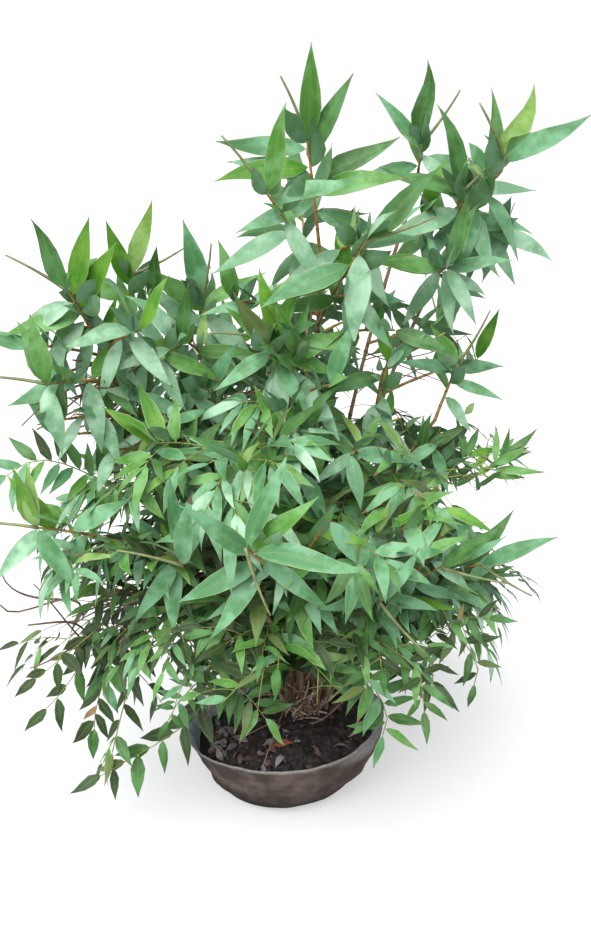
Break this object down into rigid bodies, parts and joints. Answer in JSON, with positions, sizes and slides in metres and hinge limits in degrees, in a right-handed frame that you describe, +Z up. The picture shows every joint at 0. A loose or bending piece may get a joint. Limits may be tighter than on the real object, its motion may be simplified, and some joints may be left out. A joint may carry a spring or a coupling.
{
  "type": "potted bamboo",
  "caption": "Small-leaved clumping bamboo in a soft round grow bag: thin arching canes from one clump, tall shoots of long leaves and a dense leafy skirt.",
  "frame": {"origin": "middle of the grow bag's flat underside", "axes": "+Z up, -Y towards the side the picture shows, +X to the viewer's right"},
  "size_m": [0.8774, 0.7336, 1.0604],
  "materials": {
    "bag_cloth": "dusty grey-brown matte cloth",
    "soil": "crumbly dark potting soil with dry leaf litter",
    "cane": "smooth yellow-brown, with darker nodes",
    "foliage": "satin green leaves, some glaucous, some with dry tips"
  },
  "bodies": {
    "root": {"grow_bag": "bag_cloth", "potting_soil": "soil", "cane_tall": "cane", "cane_right_tall": "cane", "cane_back_right_tall": "cane", "cane_left_front": "cane", "cane_left_inner": "cane", "cane_middle": "cane", "cane_right_inner": "cane", "cane_right_outer": "cane", "cane_back_tall": "cane", "cane_back_left": "cane", "cane_front_low": "cane", "cane_front_left_low": "cane", "cane_front_right_low": "cane", "cane_right_low": "cane", "cane_left_low": "cane", "cane_back_low": "cane", "cane_back_right_low": "cane", "leaves_top": "foliage", "leaves_top_left": "foliage", "leaves_top_right": "foliage", "leaves_far_right_top": "foliage", "leaves_right_top": "foliage", "leaves_right_shoulder": "foliage", "leaves_back_top": "foliage", "leaves_left_outer": "foliage", "leaves_left_high": "foliage", "leaves_left_side": "foliage", "leaves_left_middle": "foliage", "leaves_left_hanging": "foliage", "leaves_middle_top": "foliage", "leaves_right_middle": "foliage", "leaves_right_shoot": "foliage", "leaves_front_star": "foliage", "leaves_front_left_star": "foliage", "leaves_left_star": "foliage", "leaves_right_star": "foliage", "leaves_right_low_star": "foliage", "leaves_front_right_star": "foliage", "leaves_back_tall_top": "foliage", "leaves_back_left_top": "foliage", "leaves_back_right_top": "foliage", "leaves_centre": "foliage", "leaves_centre_left": "foliage", "leaves_left_heart": "foliage", "leaves_right_heart": "foliage", "leaves_right_fringe": "foliage", "leaves_front_skirt": "foliage", "leaves_front_left_skirt": "foliage", "leaves_front_right_skirt": "foliage", "leaves_right_skirt": "foliage", "leaves_left_skirt": "foliage", "leaves_left_hanging_frond": "foliage", "leaves_back_middle": "foliage", "leaves_back_left_middle": "foliage", "leaves_back_right_middle": "foliage", "leaves_back_left_skirt": "foliage", "leaves_back_skirt": "foliage", "leaves_back_right_skirt": "foliage"}
  },
  "joints": []
}
